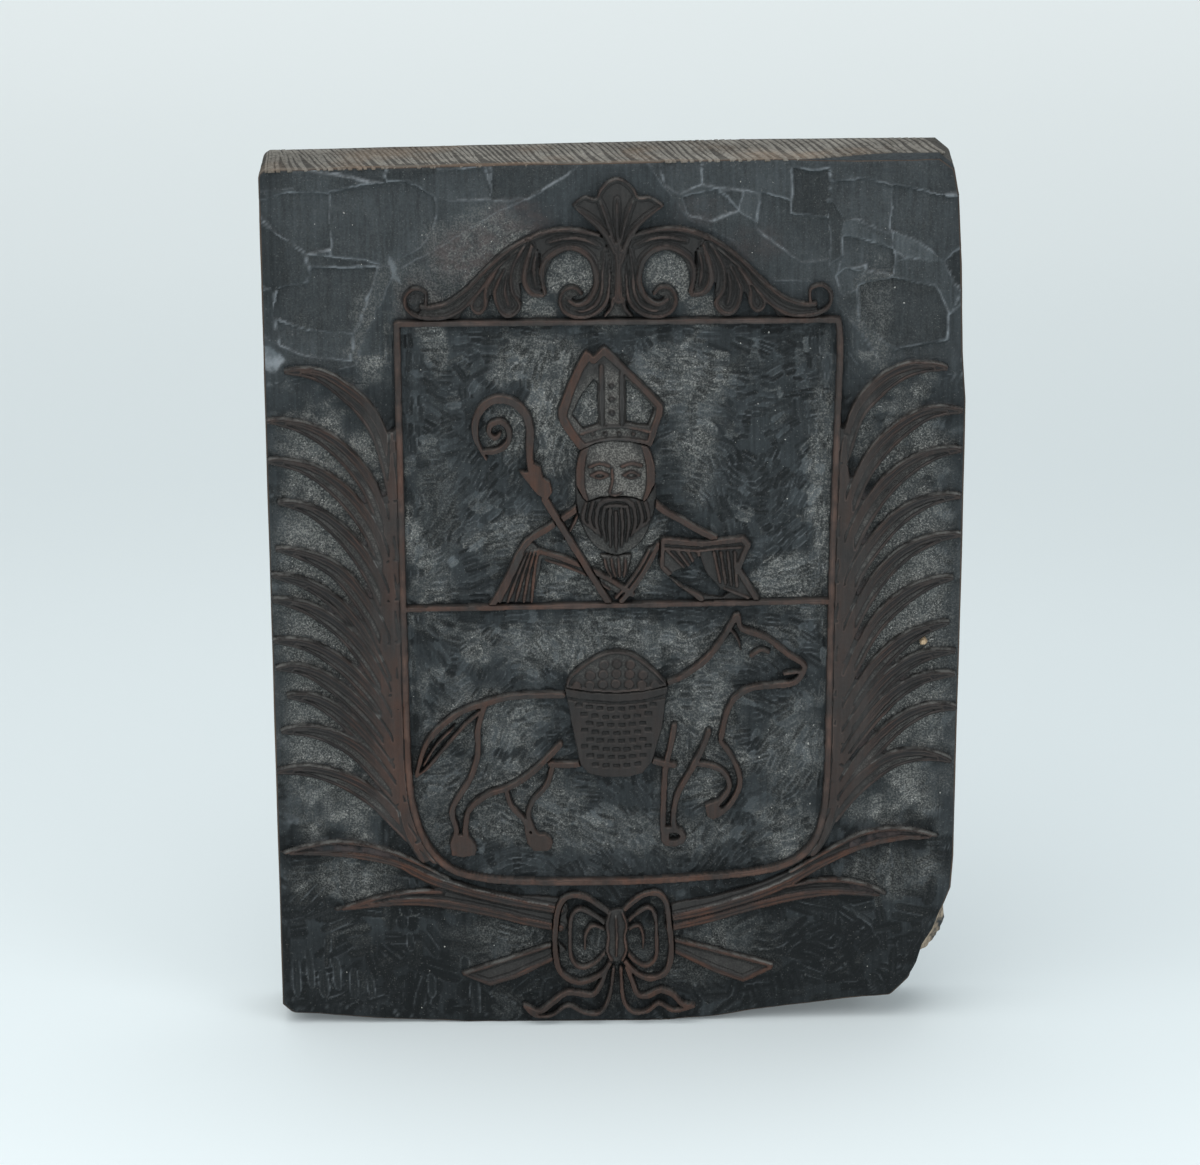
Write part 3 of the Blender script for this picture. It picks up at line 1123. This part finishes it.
# Points over the whole face, between the four sides of its outline, with the bellied foot
def plankGrid():
    s, n = plankMesh, len(outlinePoints)
    targets = np.array([[cadLow.x, 7.5], [89.5, 23.5], [92.5, cadHigh.z], [cadLow.x, 261.0]])
    ends = [int(np.argmin(np.linalg.norm(outlinePoints - t, axis=1))) for t in targets]
    sides = []
    for i, j in zip(ends, ends[1:] + ends[:1]):
        sides.append(np.array([outlinePoints[k % n] for k in range(i, (j if j > i else j + n) + 1)]))
    u = np.linspace(0, 1, s["columns"] + 1)
    v = np.concatenate([np.linspace(0, s["fineFrom"], s["coarseRows"] + 1),
                        np.linspace(s["fineFrom"], 1, s["fineRows"] + 1)[1:]])
    foot, top = walk(sides[0], u), walk(sides[2][::-1], u)
    right, left = walk(sides[1], v), walk(sides[3][::-1], v)
    u, v = u[None, :, None], v[:, None, None]
    grid = (1 - v) * foot[None] + v * top[None] + (1 - u) * left[:, None] + u * right[:, None]
    grid -= (1 - u) * (1 - v) * foot[0] + u * (1 - v) * foot[-1] + (1 - u) * v * top[0] + u * v * top[-1]
    for cx, cz, reach, moveX, moveZ in s["fuller"]:
        pull = np.exp(-((grid[..., 0] - cx) ** 2 + (grid[..., 1] - cz) ** 2) / reach ** 2)
        grid = grid + pull[..., None] * np.array([moveX, moveZ])
    low = grid[..., 1]
    belly = s["footDown"] * smooth01((14 - low) / 14) * smooth01(low / 2.5)
    return np.stack([grid[..., 0], low - belly], axis=-1)


def makePlank():
    s, mid, half = plankMesh, outlineMid, outlineHalf
    grid = plankGrid()
    nv, nu = grid.shape[:2]
    front = mid + (grid - mid) * (1 - s["edgeInset"] / half)      # a little smaller: the arris needs room
    x, z = front[..., 0], front[..., 1]
    i, j = np.indices((nv, nu))
    edgeFade = np.clip(np.minimum.reduce([i, nv - 1 - i, j, nu - 1 - j]) / 2.0, 0, 1)
    y = groundY - (sample(ground, x, z) - sample(sunk, x, z)) + (1 - edgeFade) * 0.25
    index = np.arange(nv * nu).reshape(nv, nu)
    verts, quads = [np.stack([x, y, z], -1).reshape(-1, 3)], [gridQuads(index).reshape(-1, 4)]
    rings = [np.concatenate([index[0, :-1], index[:-1, -1], index[-1, :0:-1], index[:0:-1, 0]])]
    outer = grid.reshape(-1, 2)[rings[0]]
    n = len(outer)

    def addRing(shrink, ringY):
        old, new = rings[-1], sum(len(v) for v in verts) + np.arange(n)
        p = mid + (outer - mid) * shrink
        verts.append(np.stack([p[:, 0], ringY, p[:, 1]], -1))
        quads.append(np.stack([old, new, np.roll(new, -1), np.roll(old, -1)], -1))
        rings.append(new)

    # long sides, top and foot, with soft lumps and the broken corner
    rng = np.random.default_rng(s["seed"])
    closeRings = np.arange(1.8, 8.4, 1.0)
    depthAt = [0.35, 0.9, *closeRings, *np.linspace(9.6, cadHigh.y - groundY - 1.2, s["sideRings"]),
               cadHigh.y - groundY - 0.3]
    insetAt = [0.16] + [0.0] * (len(depthAt) - 2) + [0.2]
    around = np.linspace(0, 1, n, endpoint=False)
    broken = np.clip(1.3 - np.linalg.norm(outer - np.array(s["breakAt"]), axis=1) / s["breakOver"], 0, 1)
    for k, (d, inset) in enumerate(zip(depthAt, insetAt)):
        lump = s["lump"] * (1 + np.sin(around * 60 + d * 0.3) * np.sin(around * 137 + d)) / 2
        lump = lump + broken * rng.uniform(0, 0.7, n) * (k > 0)
        lump = lump - smooth01(broken * 1.4) * s["breakOut"] * smooth01((d - 0.8) / 4)
        ringY = np.maximum(groundY + d, verts[0][rings[0], 1] + 0.15 * (k + 1))
        addRing(1 - (inset + lump)[:, None] / half, ringY)
    for f in (1 - 0.5 / half[0], *s["backRings"]):
        addRing(f, np.full(n, cadHigh.y))
    last = rings[-1]
    verts = np.concatenate(verts + [np.array([[mid[0], cadHigh.y, mid[1]]])])
    tris = np.stack([last, np.full(n, len(verts) - 1), np.roll(last, -1)], -1)
    nFront = len(quads[0])
    quads = np.concatenate(quads)
    smooth = np.ones(len(quads) + n, dtype=bool)
    smooth[len(quads) - len(s["backRings"]) * n:] = False

    # the top edge makes room for the saw ridges and is worn to a strip at the right
    verts[:, 0], verts[:, 2] = roundCorner(verts[:, 0], verts[:, 2])
    px, pz = verts[:, 0], verts[:, 2]
    behind = np.clip(verts[:, 1] - groundY, 0, None)
    toRight = smooth01((px - chamfer["from"]) / chamfer["over"])
    drop = s["ridgeRoom"] + chamfer["down"] * toRight * (1 - smooth01(behind / chamfer["back"]))
    inked = smooth01(toRight * 5) * (1 - smooth01((behind - chamfer["back"] * toRight) / 0.9))
    verts[:, 2] -= drop * np.clip((pz - topAt(px)) / s["topFade"] + 1, 0, 1)
    onFront = np.arange(len(verts)) < nv * nu
    attrs = {key: sample(values, px, pz) * onFront for key, values in faceMaps.items()}
    attrs["tone"] = attrs["tone"] + 0.2 * (1 - onFront)
    attrs["inked"] = inked

    # materials by number: 0 face, 1 long sides and foot, 2 back, 3 sawn top, 4 broken corner
    which = np.where(outer[:, 1] > cadHigh.z - s["sawnBand"], 3, 1)
    which[broken > 0.25] = 4
    slots = np.full(len(quads) + n, 2, dtype=np.int32)
    slots[:nFront] = 0
    for k in range(len(depthAt)):
        slots[nFront + k * n:nFront + (k + 1) * n] = which if k > 0 else np.where(which == 3, 1, which)
    ob = link("plank_wood", arrayMesh("plank_wood", verts, quads, smooth, attrs, tris))
    materials = (faceMaterial, sideMaterial, backMaterial, endMaterial, breakMaterial)
    finishPiece(ob, "plank", "inked_wood", *materials)
    ob.data.polygons.foreach_set("material_index", slots)
    stage(f"plank: {len(quads) * 2 + n} triangles")


makePlank()


# Geometry nodes: saw ridges over the end grain, and loose crumbs on the cut ground

geometry = {"Geometry": "Geometry"}


# Runs a tree on a mesh with the given inputs and returns the result as a plain mesh object
def runTree(name, tree, source, inputs):
    ob = link(name, source)
    mod = ob.modifiers.new("make", "NODES")
    mod.node_group = tree
    for item in tree.interface.items_tree:
        if item.in_out == "INPUT" and item.name in inputs:
            mod[item.identifier] = inputs[item.name]
    evaluated = ob.evaluated_get(bpy.context.evaluated_depsgraph_get())
    me = bpy.data.meshes.new_from_object(evaluated)
    me.name = name
    ob.modifiers.clear()
    ob.data = me
    return ob


# One random value per point: a vector where the limits are tuples
def varied(index, seed, low, high):
    first, out, kind = (0, 0, "FLOAT_VECTOR") if isinstance(low, tuple) else (2, 1, "FLOAT")
    inputs = {"ID": index, "Seed": seed, first: low, first + 1: high}
    return add(index.tree, "FunctionNodeRandomValue", inputs, out, data_type=kind)


# Real copies of a shape on points, in one material
def copiesOn(points, shape, turn, scale, material):
    tree = points.tree
    inputs = {"Points": points, "Instance": shape, "Rotation": turn, "Scale": scale}
    real = add(tree, "GeometryNodeRealizeInstances", {0: add(tree, "GeometryNodeInstanceOnPoints", inputs)})
    return add(tree, "GeometryNodeSetMaterial", {0: real, "Material": material})


sawRidges = {
    "Pitch": 1.22 * mm,
    "Growth": 0.0032,
    "Count": 115,
    "Length": 26.2 * mm,
    "Width": 1.02 * mm,
    "Height": 0.40 * mm,
    "Slant": 0.26,
    "Start": -99.0 * mm,
    "Low": (topPoints[0, 1] - plankMesh["ridgeRoom"]) * mm,
    "High": (cadHigh.z - plankMesh["ridgeRoom"]) * mm,
    "Slope": 0.0150,
    "Middle": 1.4 * mm,
    "Chamfer From": chamfer["from"] * mm,
    "Chamfer To": (chamfer["from"] + chamfer["over"]) * mm,
    "Chamfer Back": chamfer["back"] * mm,
    "Seed": 7,
}
ridgeRoots = 1.2      # mm that the ridges reach down into the plank


def sawTree():
    t, i, o = newTree("GeometryNodeTree", "sawRidges", {**geometry, **sawRidges}, geometry)
    index, seed = add(t, "GeometryNodeInputIndex"), i["Seed"]
    # where each ridge lies
    grown = index * i["Growth"] + 1.0
    x = i["Start"] + (index + varied(index, seed, -0.28, 0.28)) * grown * i["Pitch"]
    level = (i["Low"] + (x - i["Start"]) * i["Slope"]).math("MINIMUM", i["High"])
    cut = x.fit(i["Chamfer From"], i["Chamfer To"], interpolation_type="SMOOTHSTEP") * i["Chamfer Back"]
    line = add(t, "GeometryNodeMeshLine", {"Count": i["Count"]})
    place = combine(x, i["Middle"] + cut * 0.5, level)
    placed = add(t, "GeometryNodeSetPosition", {"Geometry": line, "Position": place})
    # the shape of one: a bent strip with a round top that falls off at its ends
    grid = add(t, "GeometryNodeMeshGrid", {"Size X": 1.0, "Size Y": 1.0, "Vertices X": 5, "Vertices Y": 14})
    across, along, _ = split(add(t, "GeometryNodeInputPosition"))
    hump = 1.0 - (across.math("ABSOLUTE") * 2.0).math("POWER", 1.6)
    ends = 1.0 - (along.math("ABSOLUTE") * 2.0).math("POWER", 8.0)
    lump = (along * 23.0).math("SINE") * 0.25 + 0.75
    bend = (along * 9.0).math("SINE") * 0.12
    strip = {"Geometry": grid, "Position": combine(across + bend, along, hump * ends * lump)}
    top = add(t, "GeometryNodeSetPosition", strip)
    # how each one varies
    size = combine(i["Width"] * grown, i["Length"] - cut, i["Height"])
    size = stretched(size, varied(index, seed, (0.7, 0.95, 0.5), (1.2, 1.0, 1.0)))
    leaning = i["Slant"] * index.fit(0.0, 9.0, 0.1, 1.0) + varied(index, seed, -0.055, 0.055)
    ridges = copiesOn(placed, top, combine(0.0, 0.0, leaning), size, ridgeMaterial)
    connect(add(t, "GeometryNodeSetShadeSmooth", {0: ridges}), o[0])
    return t


# Closes open strips from below: walls down into the plank and an underside that follows its top
def closeUnder(me, depth):
    bm = bmesh.new()
    bm.from_mesh(me)
    made = bmesh.ops.extrude_edge_only(bm, edges=[e for e in bm.edges if e.is_boundary])["geom"]
    for v in made:
        if isinstance(v, bmesh.types.BMVert):
            v.co.z = (float(topAt(v.co.x / mm)) - depth) * mm
    bmesh.ops.holes_fill(bm, edges=[e for e in bm.edges if e.is_boundary], sides=0)
    bmesh.ops.recalc_face_normals(bm, faces=bm.faces)
    bm.to_mesh(me)
    bm.free()


def makeSawRidges():
    ob = runTree("saw_ridges", sawTree(), bpy.data.meshes.new("saw_seed"), sawRidges)
    closeUnder(ob.data, ridgeRoots)
    co = np.empty(len(ob.data.vertices) * 3, dtype=np.float32)
    ob.data.vertices.foreach_get("co", co)
    co = co.reshape(-1, 3) / mm
    co[:, 0], co[:, 2] = roundCorner(co[:, 0], co[:, 2])
    ob.data.vertices.foreach_set("co", (co * mm).ravel())
    finishPiece(ob, None, "inked_wood")
    stage(f"saw ridges: {len(ob.data.polygons)} faces")


makeSawRidges()


crumbs = {"Density": 42000.0, "Smallest": 0.09 * mm, "Largest": 0.34 * mm, "Seed": 3}
crumbSeed = {      # where crumbs may lie, and where most of them do: x, z, reach in x and z, strength
    "grain": 12, "lift": 0.03, "fromEdge": 2.5, "fromMotif": 0.8,
    "places": [(-44, 236, 16, 13, 1.0), (20, 200, 60, 40, 0.5), (-82, 234, 14, 14, 0.3)],
}


def crumbTree():
    t, i, o = newTree("GeometryNodeTree", "crumbs", {**geometry, **crumbs}, geometry)
    weight = add(t, "GeometryNodeInputNamedAttribute", {"Name": "crumbs"}, data_type="FLOAT")
    spread = {"Mesh": i["Geometry"], "Density": weight * i["Density"], "Seed": i["Seed"]}
    points = add(t, "GeometryNodeDistributePointsOnFaces", spread)
    ball = add(t, "GeometryNodeMeshIcoSphere", {"Radius": 1.0, "Subdivisions": 1})
    index, seed = add(t, "GeometryNodeInputIndex"), i["Seed"]
    size = varied(index, seed, 0.0, 1.0).math("POWER", 4.0).fit(0.0, 1.0, i["Smallest"], i["Largest"])
    shape = varied(index, seed, (0.6, 0.6, 0.5), (1.5, 1.2, 0.9))
    scale = add(t, "ShaderNodeVectorMath", {0: shape, "Scale": size}, operation="SCALE")
    turn = varied(index, seed, (0.0, 0.0, 0.0), (3.0, 3.0, 3.0))
    connect(copiesOn(points, ball, turn, scale, crumbMaterial), o[0])
    return t


def makeCrumbs():
    s = crumbSeed
    g = s["grain"]
    rr, cc = np.arange(0, rows - g, g), np.arange(0, cols - g, g)
    at = np.ix_(rr, cc)
    gx, gz = np.meshgrid(xs[cc], zs[rr])
    free = (insidePlank[at] > s["fromEdge"]) & (reliefGap[at] > s["fromMotif"])
    verts = np.stack([gx, groundY - ground[at] - s["lift"], gz], -1).reshape(-1, 3)
    keep = free[:-1, :-1] & free[1:, :-1] & free[:-1, 1:] & free[1:, 1:]
    quads = gridQuads(np.arange(gx.size).reshape(gx.shape))[keep]
    clump = smooth01((patchNoise[at] + 0.15) / 0.6) ** 2
    most = sum(strength * np.exp(-(((gx - x) / reachX) ** 2 + ((gz - z) / reachZ) ** 2))
               for x, z, reachX, reachZ, strength in s["places"])
    weight = (0.13 + 0.5 * np.clip(dusty[at], 0, 1) * clump + 1.8 * most * (0.3 + 0.7 * clump)).ravel()
    source = arrayMesh("crumb_seed", verts, quads, np.zeros(len(quads), dtype=bool), {"crumbs": weight})
    ob = runTree("dust_crumbs", crumbTree(), source, crumbs)
    finishPiece(ob, None, "inked_wood")
    stage(f"crumbs: {len(ob.data.polygons)} faces")


makeCrumbs()


# A sliver of bare wood that broke off beside a right-hand leaf, with ragged sides and a sloping top

chip = {"at": (89.0, 119.0), "reach": (1.2, 1.5), "sides": 11, "height": 2.3, "slope": 0.25, "seed": 9,
        "rings": ((1.0, -1.2), (0.9, 0.55), (0.55, 1.0))}      # share of the reach, share of the height


def makeChip():
    rng = np.random.default_rng(chip["seed"])
    n, (atX, atZ) = chip["sides"], chip["at"]
    turn = np.arange(n) * 2 * math.pi / n
    reach = rng.uniform(0.65, 1.15, n)
    rings = []
    for share, height in chip["rings"]:
        x = np.cos(turn) * reach * share * chip["reach"][0]
        z = np.sin(turn) * reach * share * chip["reach"][1]
        y = groundY - chip["height"] * height - z * chip["slope"] * (height > 0)
        rings.append(np.stack([x + atX, y, z + atZ], 1))
    verts = np.concatenate(rings + [rings[2].mean(axis=0)[None], rings[0].mean(axis=0)[None]])
    k = np.arange(n)
    nextK = (k + 1) % n
    top, bottom = np.full(n, 3 * n), np.full(n, 3 * n + 1)
    quads = np.concatenate([np.stack([k + r, nextK + r, nextK + r + n, k + r + n], 1) for r in (0, n)])
    tris = np.concatenate([np.stack([k + 2 * n, nextK + 2 * n, top], 1), np.stack([nextK, k, bottom], 1)])
    me = arrayMesh("broken_sliver", verts, quads, np.zeros(len(quads) + len(tris), dtype=bool), {}, tris)
    finishPiece(link("broken_sliver", me), None, "worn_wood", sliverPaint("bareSliver"))


makeChip()


# Floor, backdrop and light

studio = {
    "floor": (0.85, 0.925, 0.945), "world": (0.93, 0.97, 1.0), "worldPower": 0.49,
    "darker": (0.905, 0.95, 0.95),      # how dark the floor gets beside the block, behind it and to the right
    "near": (0.76, 0.855, 0.890), "middle": (0.63, 0.700, 0.715), "far": (0.94, 1.0, 1.0),
    "seen": (0.15, 0.60),               # share of those tones that the camera sees, near and far
    "halfWidth": 5.0, "front": -3.0, "curveFrom": 1.2, "curve": 1.0, "wall": 4.0, "curveSteps": 24,
    "lights": [                         # name, place, target, size, power, colour
        ("keySoftbox", (-0.50, -0.65, 1.50), (0, 0, 0.1), (2.0, 2.0), 19.8, (1.0, 0.99, 0.97)),
        ("fillSoftbox", (1.3, -1.2, 0.8), (0, 0, 0.13), (1.0, 1.0), 7.0, (0.95, 0.98, 1.0)),
        ("topSoftbox", (0.1, 0.5, 1.6), (0, 0, 0.13), (1.2, 0.7), 5.0, (1.0, 1.0, 1.0)),
    ],
}


def backdropPaint(s):
    m, shader, co = newMaterial("paleBackdrop", 0.9, 0.1)
    tree = m.node_tree
    mottled = noise(co, 3.0, 2.0, 0.5).fit(0.3, 0.7, 0.985, 1.0)
    across, depth, _ = split(co)
    beside, behind, right = s["darker"]
    dim = depth.fit(-0.15, 0.03, 1.0, beside) * depth.fit(0.03, 0.5, 1.0, behind)
    dim = dim * across.fit(-0.15, 0.7, 1.0, right)
    finishPaint(shader, mix(1.0, mix(1.0, s["floor"], mottled, "MULTIPLY"), dim, "MULTIPLY"))
    shown = mix(depth.fit(0.55, 1.5), mix(depth.fit(-0.14, 0.45), s["near"], s["middle"]), s["far"])
    plain = add(tree, "ShaderNodeEmission", {"Color": shown, "Strength": 1.0})
    share = add(tree, "ShaderNodeLightPath", out="Is Camera Ray") * depth.fit(0.1, 0.9, *s["seen"])
    both = add(tree, "ShaderNodeMixShader", {0: share, 1: Value(tree, shader.outputs[0]), 2: plain})
    connect(both, tree.nodes["Material Output"].inputs["Surface"])
    return m


def makeStudio(s):
    turns = np.linspace(0.06, math.pi / 2, s["curveSteps"])
    start, r = s["curveFrom"], s["curve"]
    profile = [(s["front"], 0.0), (start, 0.0)]
    profile += [(start + r * math.sin(a), r - r * math.cos(a)) for a in turns]
    profile += [(start + r, s["wall"])]
    verts = [(x, y, z) for y, z in profile for x in (-s["halfWidth"], s["halfWidth"])]
    faces = [(2 * i, 2 * i + 1, 2 * i + 3, 2 * i + 2) for i in range(len(profile) - 1)]
    me = bpy.data.meshes.new("backdrop")
    me.from_pydata(verts, [], faces)
    me.polygons.foreach_set("use_smooth", [True] * len(faces))
    me.materials.append(backdropPaint(s))
    link("backdrop", me)
    for name, place, target, size, power, colour in s["lights"]:
        data = bpy.data.lights.new(name, "AREA")
        data.shape = "RECTANGLE"
        data.size, data.size_y = size
        data.energy = power
        data.color = colour
        lamp = bpy.data.objects.new(name, data)
        lamp.location = place
        lamp.rotation_euler = (Vector(target) - Vector(place)).to_track_quat("-Z", "Y").to_euler()
        bpy.context.scene.collection.objects.link(lamp)
    world = bpy.data.worlds.new("studioWorld")
    world.use_nodes = True
    sky = world.node_tree.nodes["Background"].inputs
    connect(s["world"], sky["Color"])
    connect(s["worldPower"], sky["Strength"])
    bpy.context.scene.world = world
    bpy.context.scene.view_settings.view_transform = "Standard"


makeStudio(studio)
stage("set the studio")
